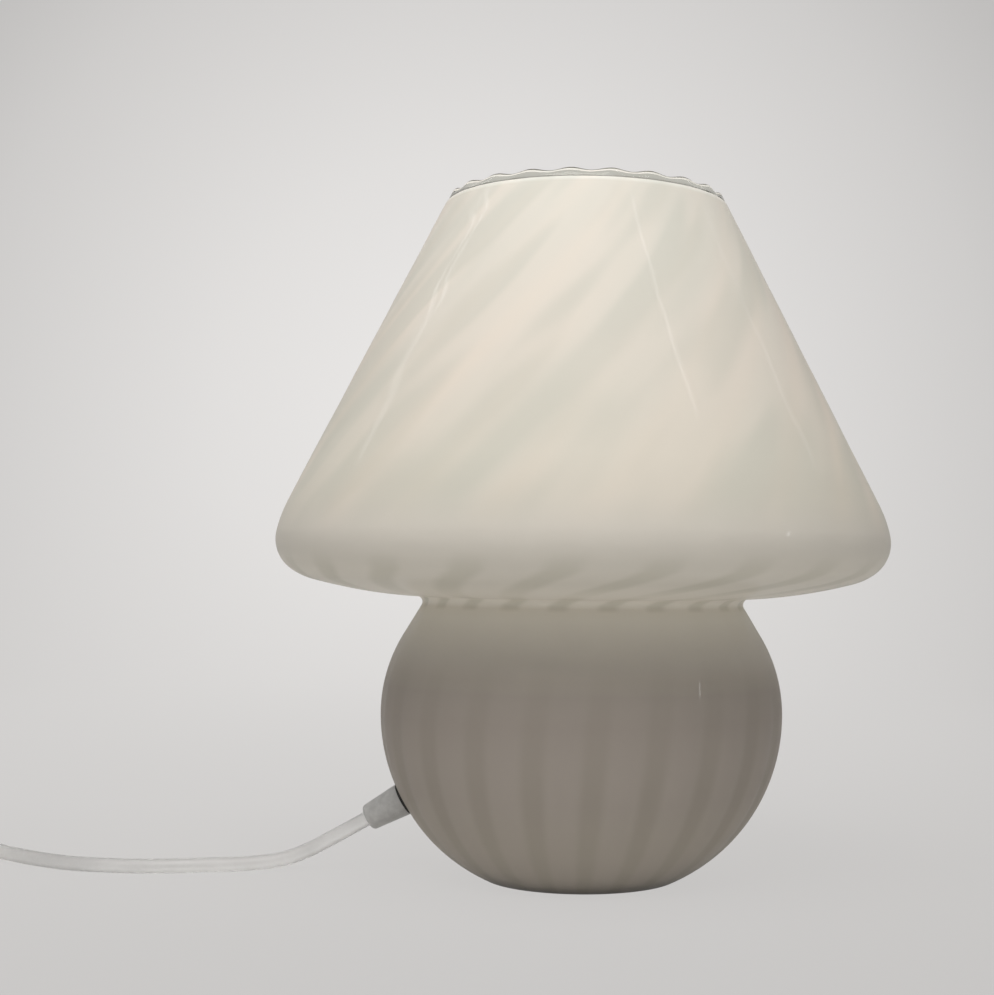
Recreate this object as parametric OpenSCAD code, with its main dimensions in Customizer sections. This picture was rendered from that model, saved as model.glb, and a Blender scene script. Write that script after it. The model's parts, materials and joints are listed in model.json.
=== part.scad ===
// Mushroom table lamp: one ribbed glass body, a holder clamped through its foot, a cord with a switch.
// Millimetres. Origin in the middle of the foot, on the table. Z is up, the cord leaves towards -X.

/* [Shade] */
// Largest radius of the shade, over the ribs
shade_r = 104.3; // [96:0.1:112]
// Height of the shade's widest line
edge_z = 114.7; // [108:0.1:122]
// Radius of the shade's rounded edge
edge_r = 12.3; // [10:0.1:15]
// Radius that blends the edge into the straight side
side_blend_r = 45; // [30:1:60]
// Radius that blends the edge into the underside
under_blend_r = 24; // [20:1:40]
// Radius of the shallow bowl under the shade
under_r = 165; // [130:5:220]
// Slope of the shade's side from the vertical
cone_angle = 27; // [24:0.5:29]
// Height of the glass to the crests of its rim
glass_h = 232.4; // [215:0.1:245]
// Upright part of the rim
lip_h = 2.6; // [1.5:0.1:4]
// Height of the sloping cut on the inside of the rim
bevel_h = 3.6; // [2:0.1:5]
// Number of ribs, and so of scallops on the rim
ribs = 22; // [16:1:28]
// Depth of a scallop
scallop_d = 0.9; // [0.6:0.1:2]
// Thickness of the glass
glass_wall = 3; // [2.4:0.1:3.6]

/* [Base] */
// Largest radius of the base, over the ribs
base_r = 68.7; // [64:0.1:74]
// Height of the base's widest line
base_z = 56; // [52:0.5:60]
// Radius of the base's curve above its widest line
shoulder_r = 52; // [46:1:58]
// Slope of the neck from the vertical
neck_angle = 31; // [27:0.5:34]
// Rounding in the waist between shade and base
waist_fillet = 2; // [1:0.1:4]
// Outer radius of the foot
foot_r = 33.3; // [30:0.1:37]
// Width of the ring that the foot stands on
foot_w = 6; // [4:0.5:8]
// Height of the hollow under the foot
punt_h = 8.6; // [8:0.1:11]
// Radius of the hollow's flat top
punt_r = 15; // [14:0.5:17]
// Thickness of the glass over the hollow
floor_t = 4; // [3:0.1:5]

/* [Clamp] */
// Diameter of the bolt through the foot
bolt_d = 6; // [5:0.5:8]
// Height of the bolt's head
bolt_head_h = 4; // [3:0.1:4.5]
// Width of the bolt's head and nut across flats
bolt_af = 10; // [9.5:0.5:13]
// Diameter of the steel washer under the glass
washer_d = 20; // [18:1:24]
// Thickness of the steel washer
washer_t = 1.2; // [0.8:0.1:1.5]
// Diameter of the two rubber washers
seal_d = 24; // [20:1:26]
// Thickness of a rubber washer
seal_t = 1.5; // [1:0.1:2]
// Width of the bracket's strip
bracket_w = 20; // [18:1:24]
// Thickness of the strip
bracket_t = 2; // [1.5:0.1:2.5]
// Height of the bracket
bracket_h = 44; // [40:1:50]
// Distance from the lamp's middle to the bracket's upright
bracket_x = 14; // [13:0.5:17]

/* [Lamp holder] */
// Diameter of the threaded nipple
nipple_d = 10; // [9:0.5:10.5]
// Bore of the nipple
nipple_bore = 7.4; // [6.6:0.1:7.8]
// Thickness of a nipple nut
nipple_nut_h = 4; // [3:0.5:5]
// Width of a nipple nut across flats
nipple_nut_af = 14; // [13:0.5:16]
// Outer diameter of the holder
holder_d = 28; // [26:0.5:32]
// Height of the holder's cap
cap_h = 24; // [22:1:28]
// Wall of the holder's cap
cap_t = 2; // [1.6:0.1:2.4]
// Height of the insulating core
core_h = 10; // [8:0.5:13]

/* [Bulb] */
// Diameter of the bulb's ball
ball_d = 45; // [40:1:48]
// Thickness of the bulb's glass
ball_t = 0.8; // [0.6:0.1:1.2]
// Outer diameter of the bulb's thread
thread_d = 13.8; // [13:0.1:14.2]
// Pitch of the bulb's thread
thread_pitch = 2.82; // [2.5:0.01:3.2]
// Radius at which the four filaments stand
filament_r = 5.2; // [4.5:0.1:6]

/* [Cord grip] */
// Slope of the grip below the horizontal
grip_angle = 29.3; // [24:0.1:32]
// Length of the grip outside the glass
grip_len = 14.9; // [11:0.1:16]
// Diameter of the grip at the glass
grip_d = 11.3; // [10.4:0.1:12.5]
// Diameter of the grip at its outer end
grip_end_d = 9.3; // [8.4:0.1:10]
// Diameter of the grip's threaded stub
stub_d = 8; // [7:0.1:8.6]
// Length of the stub from the glass's outer face
stub_len = 12; // [11:0.5:14]
// Thickness of the grip's nut
grip_nut_h = 4; // [3:0.5:5]

/* [Cord] */
// Diameter of the cord
cord_d = 5; // [4.4:0.1:5.1]
// Diameter of a conductor
wire_d = 2; // [1.6:0.1:2.2]
// Distance between neighbouring turns of the coil
coil_pitch = 5.7; // [5.6:0.1:6.2]
// Height between the coil's two layers
coil_layer = 5.6; // [5.6:0.1:6.2]
// Thickness of the tie round the coil
tie_t = 0.7; // [0.5:0.1:0.8]
// Width of the tie
tie_w = 8; // [6:0.5:12]

/* [Switch] */
// Length of the switch
switch_l = 60; // [58:1:60]
// Width of the switch
switch_w = 22; // [21:0.5:25]
// Height of the switch
switch_h = 17; // [16.5:0.1:18.5]
// Wall of the switch's shells
switch_t = 1.8; // [1.4:0.1:2]
// Tilt of the rocker to either side
rocker_tilt = 8; // [5:0.5:9]
// Length of the rocker
rocker_l = 16; // [14:0.2:17]
// Width of the rocker
rocker_w = 9; // [7:0.1:9.4]
// Diameter of the rocker's trunnions
trunnion_d = 3; // [2:0.1:3.4]
// Tilt of the contact blade to either side
blade_tilt = 5; // [3:0.5:6]

/* [Plug] */
// Width of the plug's body
plug_w = 34; // [30:0.5:36]
// Thickness of the plug's body
plug_t = 13.7; // [12:0.1:15]
// Length of the plug's body
plug_l = 34; // [30:1:36]
// Distance between the pins
pin_gap = 18.6; // [17:0.1:19.2]
// Diameter of a pin
pin_d = 4; // [3.8:0.1:4.4]
// Length of a pin outside the plug
pin_l = 19; // [17:0.5:20]
// Length of the relief on the cord
relief_l = 20; // [18:1:24]

/* [Hidden] */
$fn = 64;
slip = 0.05;
thread_slip = 0.05;

// Profile of the glass: centres of its arcs as radius and height
edge_c = [shade_r - edge_r, edge_z];
side_to = 13;
under_to = -56;
bowl_to = -75;
side_c = edge_c - (side_blend_r - edge_r) * [cos(side_to), sin(side_to)];
blend_c = edge_c - (under_blend_r - edge_r) * [cos(under_to), sin(under_to)];
bowl_c = blend_c - (under_r - under_blend_r) * [cos(bowl_to), sin(bowl_to)];
shoulder_c = [base_r - shoulder_r, base_z];
belly_r = (pow(base_r - foot_r, 2) + pow(base_z, 2)) / (2 * (base_r - foot_r));
belly_c = [base_r - belly_r, base_z];

// Waist fillet, tangent to the straight neck and to the bowl
neck_n = [cos(neck_angle), sin(neck_angle)];
neck_up = [-sin(neck_angle), cos(neck_angle)];
neck_p = shoulder_c + (shoulder_r + waist_fillet) * neck_n - bowl_c;
neck_b = neck_p * neck_up;
neck_far = neck_p * neck_p - pow(under_r + waist_fillet, 2);
neck_len = -neck_b - sqrt(pow(neck_b, 2) - neck_far);
waist_c = bowl_c + neck_p + neck_len * neck_up;
waist_a = atan2(waist_c[1] - bowl_c[1], waist_c[0] - bowl_c[0]);

// Rim
side_p = side_c + side_blend_r * [cos(cone_angle), sin(cone_angle)];
function side_at(z, inset) = side_p[0] - inset / cos(cone_angle) - (z - side_p[1]) * tan(cone_angle);
lip_r = side_at(glass_h - lip_h, 0);
bevel_r = side_at(glass_h - bevel_h, glass_wall);
scallop_chord = 2 * lip_r * sin(180 / ribs);
scallop_r = (pow(scallop_chord, 2) / 4 + pow(scallop_d, 2)) / (2 * scallop_d);
scallop_turn = 12.8;

// Stack through the foot
floor_z = punt_h + floor_t;
washer_z = punt_h - seal_t - washer_t;
head_z = washer_z - bolt_head_h;
bracket_z = floor_z + seal_t;
nut_h = 0.8 * bolt_d;
bolt_end = bracket_z + bracket_t + nut_h + 2;
holder_z = bracket_z + bracket_h;

// Lamp holder and bulb
holder_r = holder_d / 2;
cap_in = holder_r - cap_t;
core_r = cap_in - 2;
core_z = holder_z + cap_h - 6;
core_top = core_z + core_h;
terminal_h = 4;
terminal_y = 6;
contact_h = 2;
bulb_z = core_top + contact_h;
thread_r = thread_d / 2;
bore_r = thread_r + 0.2;
shell_z = bulb_z + 5;
collar_z = bulb_z + 22;
skirt_top = collar_z - 0.4;
collar_r = 9.6;
neck_in = 8.8;
ball_r = ball_d / 2;
ball_z = collar_z + 2 + sqrt(pow(ball_r, 2) - pow(neck_in, 2));
filament_z = ball_z;
nipple_z = holder_z - bracket_t - nipple_nut_h - 2;
nipple_top = holder_z + 3 + nipple_nut_h;

// Grip: a point on the glass and the way out of it
grip_p = belly_c + belly_r * [cos(grip_angle), -sin(grip_angle)];
grip_out = [-cos(grip_angle), 0, -sin(grip_angle)];
grip_o = [-grip_p[0], 0, grip_p[1]];
hole_r = stub_d / 2 + 0.2;
gasket_t = 1;
jacket_in = stub_len + 6;
function at_grip(w) = grip_o + w * grip_out;

// Cord's route, grip to switch, switch to coil, coil to plug
cord_r = cord_d / 2;
run_points = [at_grip(grip_len), at_grip(grip_len + 5), [-86, 0, 11.5], [-94, -0.3, 7.2], [-102, -1.4, 4.2],
    [-112, -3.8, 2.8], [-126, -8, 2.6], [-148, -13, 2.6], [-172, -11, 2.6], [-190, -3, 2.7],
    [-205, 5, 3.4], [-219, 10.8, 5.6], [-228, 12, 7.3], [-233, 12, 7.5], [-234, 12, 7.5]];
switch_at = [-264, 12, 0];
link_points = [[-294, 12, 7.5], [-295, 12, 7.5], [-301, 12, 7.2], [-311, 9, 5.6], [-319, 1, 4],
    [-322, -10, 3.4], [-322, -24, 3.4], [-322, -40, 3.4], [-322, -51, 3.4]];
coil_at = [-282, -56];
coil_r = 40;
coil_turns = 3.375;
coil_z = 3.4;
coil_dip = 1.2;
coil_steps = 24;
tail_points = [[-277, -96, 9], [-266, -96, 7.8], [-254, -96, 5.6], [-240, -96, 4.2], [-230, -93.3, 4],
    [-222.7, -86, 4.8], [-220, -76, 6.5], [-220, -72, 6.85]];
plug_at = [-220, -72, 6.85];

// Switch, measured from the middle of its underside
split_z = 7.5;
pivot_z = 12.5;
pivot_up = switch_h - pivot_z;
window_l = rocker_l + 2.4;
window_w = rocker_w + 0.8;
cheek_y = rocker_w / 2 + 0.4;
cheek_t = 2;
trunnion_y = cheek_y + cheek_t - 0.3;
tip_z = 6.3;
blade_z = 5.6;
blade_t = 0.5;
blade_l = 13;
knuckle_r = 0.5;
screw_x = 16;
screw_y = -6.9;
stub_x = 21;

// Curves
function arc(c, r, a0, a1, n) = [for (i = [0:n]) let (a = a0 + (a1 - a0) * i / n) c + r * [cos(a), sin(a)]];
function unit(v) = v / norm(v);
function mix3(a, b, c, d, t) = 0.5 * (2 * b + (c - a) * t + (2 * a - 5 * b + 4 * c - d) * t * t
    + (3 * b - a - 3 * c + d) * t * t * t);
function pick(p, i) = i < 0 ? 2 * p[0] - p[1] : i >= len(p) ? 2 * p[len(p) - 1] - p[len(p) - 2] : p[i];
function smooth(p, k) = concat([for (i = [0:len(p) - 2]) for (j = [0:k - 1])
    mix3(pick(p, i - 1), p[i], p[i + 1], pick(p, i + 2), j / k)], [p[len(p) - 1]]);
function inner(p) = [for (i = [1:len(p) - 2]) p[i]];
function tipped(p, k) = concat([p[0]], smooth(inner(p), k), [p[len(p) - 1]]);
function heading(p, i) = unit(p[min(i + 1, len(p) - 1)] - p[max(i - 1, 0)]);
function ring(c, t, up, r, n) = let (u = unit(cross(up, t)), v = cross(t, u))
    [for (i = [0:n - 1]) c + r * (cos(360 * i / n) * u + sin(360 * i / n) * v)];

// Coil: in on the lower layer, up in a half turn, out on the upper layer
coil_in = coil_r - coil_turns * coil_pitch;
function coil_rad(t) = t < coil_turns ? coil_r - coil_pitch * t
    : t > coil_turns + 0.5 ? coil_in + coil_pitch * (t - coil_turns - 0.5)
    : coil_in - coil_dip * sin(360 * (t - coil_turns));
function coil_up(t) = coil_layer * (t < coil_turns ? 0 : t > coil_turns + 0.5 ? 1
    : (1 - cos(360 * (t - coil_turns))) / 2);
function coil_point(t) = [coil_at[0] + coil_rad(t) * cos(180 + 360 * t),
    coil_at[1] + coil_rad(t) * sin(180 + 360 * t), coil_z + coil_up(t)];
coil_all = 2 * coil_turns + 0.5;
coil_line = concat([coil_point(0) + [0, cord_d, 0]],
    [for (i = [0:coil_all * coil_steps]) coil_point(i / coil_steps)],
    [coil_point(coil_all) + [cord_d, 0, 0]]);
coil_gap = min([for (i = [0:len(coil_line) - 1]) for (j = [i + 8:1:len(coil_line) - 1])
    norm(coil_line[i] - coil_line[j])]) - cord_d;
function length_of(p, i = 0) = i >= len(p) - 1 ? 0 : norm(p[i + 1] - p[i]) + length_of(p, i + 1);
echo(coil_gap = coil_gap, coil_length = length_of(coil_line), run = length_of(smooth(run_points, 4)),
    link = length_of(smooth(link_points, 4)), tail = length_of(smooth(tail_points, 4)));
echo(grip_end = at_grip(grip_len), waist = waist_c, lip = lip_r, bulb_top = ball_z + ball_r, ball = ball_z,
    holder = holder_z, skirt_top = skirt_top, bulb_z = bulb_z, core = core_z,
    nipple = [nipple_z, nipple_top]);

// Shared shapes

module tube(h, r, bore) {
    difference() {
        cylinder(h = h, r = r);
        translate([0, 0, -1])
            cylinder(h = h + 2, r = bore);
    }
}

module hex_nut(h, af, bore) {
    difference() {
        cylinder(h = h, r = af / 2 / cos(30), $fn = 6);
        translate([0, 0, -1])
            cylinder(h = h + 2, r = bore);
    }
}

module round_rect(l, w, r) {
    square([l - 2 * r, w], center = true);
    square([l, w - 2 * r], center = true);
    for (x = [-1, 1], y = [-1, 1])
        translate([x * (l / 2 - r), y * (w / 2 - r)])
            circle(r = r);
}

module sweep(path, r, n, up) {
    last = len(path) - 1;
    rings = [for (i = [0:last]) ring(path[i], heading(path, i), up, r, n)];
    points = [for (g = rings) for (p = g) p];
    walls = [for (i = [0:last - 1]) for (j = [0:n - 1]) for (f = [
        [i * n + j, i * n + (j + 1) % n, (i + 1) * n + j],
        [i * n + (j + 1) % n, (i + 1) * n + (j + 1) % n, (i + 1) * n + j]]) f];
    near = [for (j = [1:n - 2]) [0, j + 1, j]];
    far = [for (j = [1:n - 2]) [last * n, last * n + j, last * n + j + 1]];
    polyhedron(points = points, faces = concat([for (f = walls) [f[0], f[2], f[1]]],
        [for (f = near) [f[0], f[2], f[1]]], [for (f = far) [f[0], f[2], f[1]]]));
}

module on_grip(w = 0) {
    translate(grip_o)
        rotate([0, -(90 + grip_angle), 0])
            translate([0, 0, w])
                children();
}

module on_switch() {
    translate(switch_at)
        children();
}

// Along the plug's length, from the cord's end
module on_plug(y = 0) {
    translate(plug_at + [0, y, 0])
        rotate([-90, 0, 0])
            children();
}

// Glass

function glass_line(inset, low) = concat(
    arc(belly_c, belly_r - inset, -asin((base_z - low) / (belly_r - inset)), 0, 20),
    arc(shoulder_c, shoulder_r - inset, 3, neck_angle, 10),
    arc(waist_c, -(waist_fillet + inset), neck_angle, waist_a, 10),
    arc(bowl_c, under_r - inset, waist_a + 1, bowl_to, 6),
    arc(blend_c, under_blend_r - inset, bowl_to + 4, under_to, 4),
    arc(edge_c, edge_r - inset, under_to + 5, side_to, 14),
    arc(side_c, side_blend_r - inset, side_to + 3.5, cone_angle, 4));

function flip(p) = [for (i = [len(p) - 1:-1:0]) p[i]];

module glass_body() {
    wall = concat([[0, punt_h], [punt_r, punt_h], [foot_r - foot_w, 0]], glass_line(0, 0),
        [[lip_r, glass_h - lip_h], [lip_r, glass_h], [bevel_r, glass_h - bevel_h]],
        flip(glass_line(glass_wall, floor_t)),
        [[foot_r - foot_w + 2, floor_t], [punt_r + 3, floor_z], [0, floor_z]]);
    color("Gainsboro")
        difference() {
            rotate_extrude()
                polygon(wall);
            translate([0, 0, punt_h - 1])
                cylinder(h = floor_t + 2, r = bolt_d / 2 + 0.4);
            on_grip(-glass_wall - 4)
                cylinder(h = glass_wall + 8, r = hole_r);
            for (i = [0:ribs - 1])
                rotate([0, 0, scallop_turn + (i + 0.5) * 360 / ribs - 90])
                    translate([lip_r - 4, 0, glass_h - scallop_d + scallop_r])
                        rotate([0, 90, 0])
                            cylinder(h = 8, r = scallop_r);
        }
}

// Clamp through the foot

module seal_washers() {
    color("DimGray") {
        translate([0, 0, punt_h - seal_t])
            tube(seal_t, seal_d / 2, bolt_d / 2 + 0.1);
        translate([0, 0, floor_z])
            tube(seal_t, seal_d / 2, bolt_d / 2 + 0.1);
    }
}

module clamp_washer() {
    color("Silver")
        translate([0, 0, washer_z])
            tube(washer_t, washer_d / 2, bolt_d / 2 + 0.1);
}

module clamp_bolt() {
    color("Silver") {
        translate([0, 0, head_z])
            cylinder(h = bolt_head_h, r = bolt_af / 2 / cos(30), $fn = 6);
        translate([0, 0, head_z + 1])
            cylinder(h = bolt_end - head_z - 1, r = bolt_d / 2);
    }
}

module clamp_nut() {
    color("Silver")
        translate([0, 0, bracket_z + bracket_t])
            hex_nut(nut_h, bolt_af, bolt_d / 2 + thread_slip);
}

module holder_bracket() {
    tab = bracket_w / 2;
    color("LightSteelBlue")
        difference() {
            union() {
                for (z = [bracket_z, holder_z - bracket_t])
                    translate([0, 0, z]) {
                        cylinder(h = bracket_t, r = tab);
                        translate([0, -tab, 0])
                            cube([bracket_x, bracket_w, bracket_t]);
                    }
                translate([bracket_x - bracket_t, -tab, bracket_z])
                    cube([bracket_t, bracket_w, bracket_h]);
            }
            translate([0, 0, bracket_z - 1])
                cylinder(h = bracket_t + 2, r = bolt_d / 2 + 0.2);
            translate([0, 0, holder_z - bracket_t - 1])
                cylinder(h = bracket_t + 2, r = nipple_d / 2 + 0.2);
        }
}

// Lamp holder

module holder_nipple() {
    color("Goldenrod")
        translate([0, 0, nipple_z])
            tube(nipple_top - nipple_z, nipple_d / 2, nipple_bore / 2);
}

module nipple_nuts() {
    color("Goldenrod") {
        translate([0, 0, holder_z - bracket_t - nipple_nut_h])
            hex_nut(nipple_nut_h, nipple_nut_af, nipple_d / 2 + thread_slip);
        translate([0, 0, holder_z + 2.4])
            hex_nut(nipple_nut_h, nipple_nut_af, nipple_d / 2 + thread_slip);
    }
}

module holder_cap() {
    outer = [[0, 0], [holder_r - 4, 0], [holder_r - 1.2, 1.2], [holder_r, 4], [holder_r, cap_h],
        [cap_in, cap_h], [cap_in, 5], [cap_in - 3, 2.4], [0, 2.4]];
    color("WhiteSmoke")
        translate([0, 0, holder_z])
            difference() {
                rotate_extrude()
                    polygon(outer);
                translate([0, 0, -1])
                    cylinder(h = 5, r = nipple_d / 2 + 0.15);
            }
}

module holder_skirt() {
    top = skirt_top - core_z;
    wall = [[core_r + slip, 0], [cap_in - slip, 0], [cap_in - slip, 6], [holder_r, 6], [holder_r, top - 1.5],
        [holder_r - 0.5, top - 0.4], [holder_r - 1.5, top], [bore_r, top], [bore_r, core_h],
        [core_r + slip, core_h]];
    color("WhiteSmoke")
        translate([0, 0, core_z])
            difference() {
                rotate_extrude()
                    polygon(wall);
                translate([bore_r - 2, -2.2, core_h - 1])
                    cube([2.9, 4.4, 14]);
            }
}

module holder_core() {
    color("Ivory")
        translate([0, 0, core_z])
            cylinder(h = core_h, r = core_r);
}

module centre_contact() {
    color("Gold") {
        translate([0, 0, core_top])
            cylinder(h = 0.6, r = 2.6);
        translate([0, 0, core_top + 0.5])
            cylinder(h = contact_h - 0.5, r1 = 2, r2 = 1.4);
    }
}

module side_contact() {
    color("Gold") {
        translate([bore_r, -2, core_top])
            cube([0.6, 4, 12]);
        translate([4.6, -2, core_top])
            cube([bore_r - 4.5, 4, 0.6]);
    }
}

module holder_terminals() {
    color("Gold")
        for (s = [-1, 1])
            translate([0, s * terminal_y, core_z - terminal_h])
                difference() {
                    cylinder(h = terminal_h, r = 2.4);
                    translate([0, 0, terminal_h / 2])
                        rotate([-90 * s, 0, 0])
                            cylinder(h = 4, r = 1.1 + slip);
                }
}

module terminal_screws() {
    color("Silver")
        for (s = [-1, 1])
            translate([0, s * terminal_y, core_z - terminal_h / 2])
                rotate([-90 * s, 0, 0]) {
                    translate([0, 0, 0.1])
                        cylinder(h = 3.6, r = 1.1);
                    translate([0, 0, 2.7])
                        cylinder(h = 1.2, r = 1.8);
                }
}

// Bulb

module bulb_glass() {
    low = -asin((ball_z - collar_z - 2) / ball_r);
    low_in = -acos((neck_in - ball_t) / (ball_r - ball_t));
    wall = concat([[neck_in, collar_z - ball_z + 0.6]], arc([0, 0], ball_r, low, 90, 30),
        flip(arc([0, 0], ball_r - ball_t, low_in, 90, 30)), [[neck_in - ball_t, collar_z - ball_z + 0.6]]);
    color("White")
        translate([0, 0, ball_z])
            rotate_extrude()
                polygon(wall);
}

module bulb_cap() {
    turns = [for (i = [0:32]) [thread_r - 0.35 + 0.35 * cos(360 * i / 8), i * thread_pitch / 8]];
    far = 32 * thread_pitch / 8;
    top = collar_z - shell_z;
    wall = concat([[thread_r - 1.6, 0]], turns, [[thread_r - 0.35, far + 1], [thread_r - 0.1, top],
        [collar_r, top], [collar_r, top + 1.9], [neck_in + slip, top + 1.9], [neck_in + slip, top + 0.6],
        [thread_r - 1.2, top + 0.6], [thread_r - 1.6, far]]);
    color("Silver")
        translate([0, 0, shell_z])
            rotate_extrude()
                polygon(wall);
}

module bulb_insulator() {
    color("Black")
        translate([0, 0, bulb_z])
            rotate_extrude()
                polygon([[2.4 + slip, 0.8], [3, 0.8], [thread_r - 1, 4.4], [thread_r - 1, 5],
                    [thread_r - 1.65, 5], [thread_r - 1.65, 7], [2.4 + slip, 7]]);
}

module bulb_contact() {
    color("Silver")
        translate([0, 0, bulb_z])
            rotate_extrude()
                polygon([[0, 0], [1.4, 0], [2.2, 0.4], [2.4, 0.8], [2.4, 3], [0, 3]]);
}

module bulb_stem() {
    foot = collar_z + 0.8;
    color("AliceBlue")
        rotate_extrude()
            polygon([[0, foot], [neck_in - ball_t - slip, foot], [neck_in - ball_t - slip, foot + 0.6],
                [4, foot + 2.2], [2.4, foot + 5], [2.2, filament_z - 0.6], [0, filament_z - 0.6]]);
}

module bulb_supports() {
    color("Silver")
        translate([0, 0, filament_z]) {
            translate([0, 0, -0.6])
                cylinder(h = 1.2, r = 2.2);
            for (i = [0:3])
                rotate([0, 0, 45 + 90 * i])
                    translate([1, 0, 0])
                        rotate([0, 90, 0])
                            cylinder(h = filament_r - 1.8, r = 0.4);
        }
}

module bulb_filaments() {
    color("Khaki")
        for (i = [0:3])
            rotate([0, 0, 45 + 90 * i])
                translate([filament_r, 0, filament_z - 13])
                    cylinder(h = 26, r = 0.8);
}

// Cord grip

module grip_body() {
    round = 1.4;
    low = gasket_t;
    shape = concat([[cord_r + 0.1, low], [grip_d / 2, low], [grip_d / 2, low + 1.2]],
        arc([grip_end_d / 2 - round, grip_len - round], round, 0, 80, 6), [[cord_r + 0.1, grip_len]]);
    color("DarkGray")
        on_grip() {
            rotate_extrude()
                polygon(shape);
            translate([0, 0, -stub_len])
                tube(stub_len + low + 0.5, stub_d / 2, cord_r + 0.1);
        }
}

module grip_gasket() {
    color("Black")
        on_grip(-0.1)
            tube(gasket_t + 0.1, grip_d / 2 - 0.2, stub_d / 2 + slip);
}

module grip_washer() {
    color("Silver")
        on_grip(-glass_wall - 1.55)
            tube(1.1, 7, stub_d / 2 + slip);
}

module grip_nut() {
    color("DarkGray")
        on_grip(-glass_wall - 1.55 - grip_nut_h)
            hex_nut(grip_nut_h, stub_d + 4, stub_d / 2 + thread_slip);
}

module lead_jacket() {
    color("White")
        on_grip(-jacket_in)
            cylinder(h = jacket_in + grip_len, r = cord_r);
}

module wire(side) {
    y = side * 1.3;
    start = at_grip(-jacket_in) + [0, y, 0];
    points = [start, start - 4 * grip_out, [-31, y, 43], [-21, y, 44], [-11, y, 42], [-4, y, 43],
        [-0.6, y, nipple_z - 1], [0, y, nipple_z + 6], [0, y, holder_z], [0, y, nipple_top - 1],
        [0, y * 1.5, nipple_top + 2], [0, y * 3.2, core_z - terminal_h - 3],
        [0, side * terminal_y, core_z - terminal_h - 1], [0, side * terminal_y, core_z - terminal_h - 0.4],
        [0, side * terminal_y, core_z - terminal_h]];
    sweep(tipped(points, 3), wire_d / 2, 8, [0.05, 1, -0.02]);
}

module live_wire() {
    color("Brown")
        wire(-1);
}

module neutral_wire() {
    color("RoyalBlue")
        wire(1);
}

// Cord

module cord_run() {
    color("White")
        sweep(tipped(run_points, 2), cord_r, 10, [0, 0, 1]);
}

module cord_link() {
    color("White")
        sweep(tipped(link_points, 2), cord_r, 10, [0, 0, 1]);
}

module cord_coil() {
    color("White")
        sweep(coil_line, cord_r, 6, [0, 0, 1]);
}

module cord_tail() {
    color("White")
        sweep(smooth(tail_points, 2), cord_r, 10, [0, 0, 1]);
}

module coil_tie() {
    near = coil_in - coil_dip - cord_r - 0.3;
    far = coil_r + cord_r + 0.4;
    low = coil_z - cord_r - 0.1;
    high = coil_z + coil_layer + cord_r + 0.1;
    color("DimGray")
        translate([coil_at[0], coil_at[1], 0])
            rotate([0, 0, 225])
                difference() {
                    translate([near - tie_t, -tie_w / 2, low - tie_t])
                        cube([far - near + 2 * tie_t, tie_w, high - low + 2 * tie_t]);
                    translate([near, -tie_w, low])
                        cube([far - near, 2 * tie_w, high - low]);
                }
}

// Switch

module switch_hollow(low, high) {
    translate([0, 0, low])
        linear_extrude(height = high - low)
            round_rect(switch_l - 2 * switch_t, switch_w - 2 * switch_t, 4.2);
}

module switch_entries() {
    translate([-switch_l / 2 - 1, 0, split_z])
        rotate([0, 90, 0])
            cylinder(h = switch_l + 2, r = cord_r + 0.1);
}

module switch_base() {
    color("WhiteSmoke")
        on_switch()
            difference() {
                union() {
                    difference() {
                        linear_extrude(height = split_z)
                            round_rect(switch_l, switch_w, 6);
                        switch_hollow(switch_t, split_z + 1);
                        switch_entries();
                    }
                    for (x = [-screw_x, screw_x])
                        translate([x, screw_y, switch_t / 2])
                            cylinder(h = split_z - switch_t / 2, r = 2.6);
                    for (x = [-24, 24])
                        translate([x - 2, -5, switch_t / 2])
                            cube([4, 10, split_z - cord_r - 0.1 - switch_t / 2]);
                }
                for (x = [-screw_x, screw_x])
                    translate([x, screw_y, -1]) {
                        cylinder(h = split_z + 2, r = 1.3);
                        cylinder(h = 3.2, r = 2.3);
                    }
            }
}

module switch_cover() {
    color("WhiteSmoke")
        on_switch()
            difference() {
                union() {
                    difference() {
                        union() {
                            translate([0, 0, split_z])
                                linear_extrude(height = switch_h - split_z - 1)
                                    round_rect(switch_l, switch_w, 6);
                            translate([0, 0, switch_h - 1.5])
                                linear_extrude(height = 1.5)
                                    round_rect(switch_l - 1.6, switch_w - 1.6, 5.2);
                        }
                        switch_hollow(split_z - 1, switch_h - switch_t);
                        switch_entries();
                    }
                    for (x = [-screw_x, screw_x])
                        translate([x, screw_y, split_z])
                            cylinder(h = switch_h - split_z - switch_t / 2, r = 2.6);
                    for (x = [-24, 24])
                        translate([x - 2, -6, split_z + cord_r + 2.4])
                            cube([4, 12, switch_h - split_z - cord_r - 2.4 - switch_t / 2]);
                    for (s = [-1, 1])
                        translate([-3, s * (cheek_y + cheek_t / 2) - cheek_t / 2, pivot_z - 3])
                            cube([6, cheek_t, pivot_up + 3 - switch_t / 2]);
                }
                for (x = [-screw_x, screw_x])
                    translate([x, screw_y, split_z - 1])
                        cylinder(h = 7, r = 1.1);
                translate([-window_l / 2, -window_w / 2, switch_h - switch_t - 1])
                    cube([window_l, window_w, switch_t + 2]);
                translate([0, -cheek_y - cheek_t - 1, pivot_z])
                    rotate([-90, 0, 0])
                        cylinder(h = 2 * (cheek_y + cheek_t + 1), r = trunnion_d / 2 + slip);
            }
}

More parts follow.
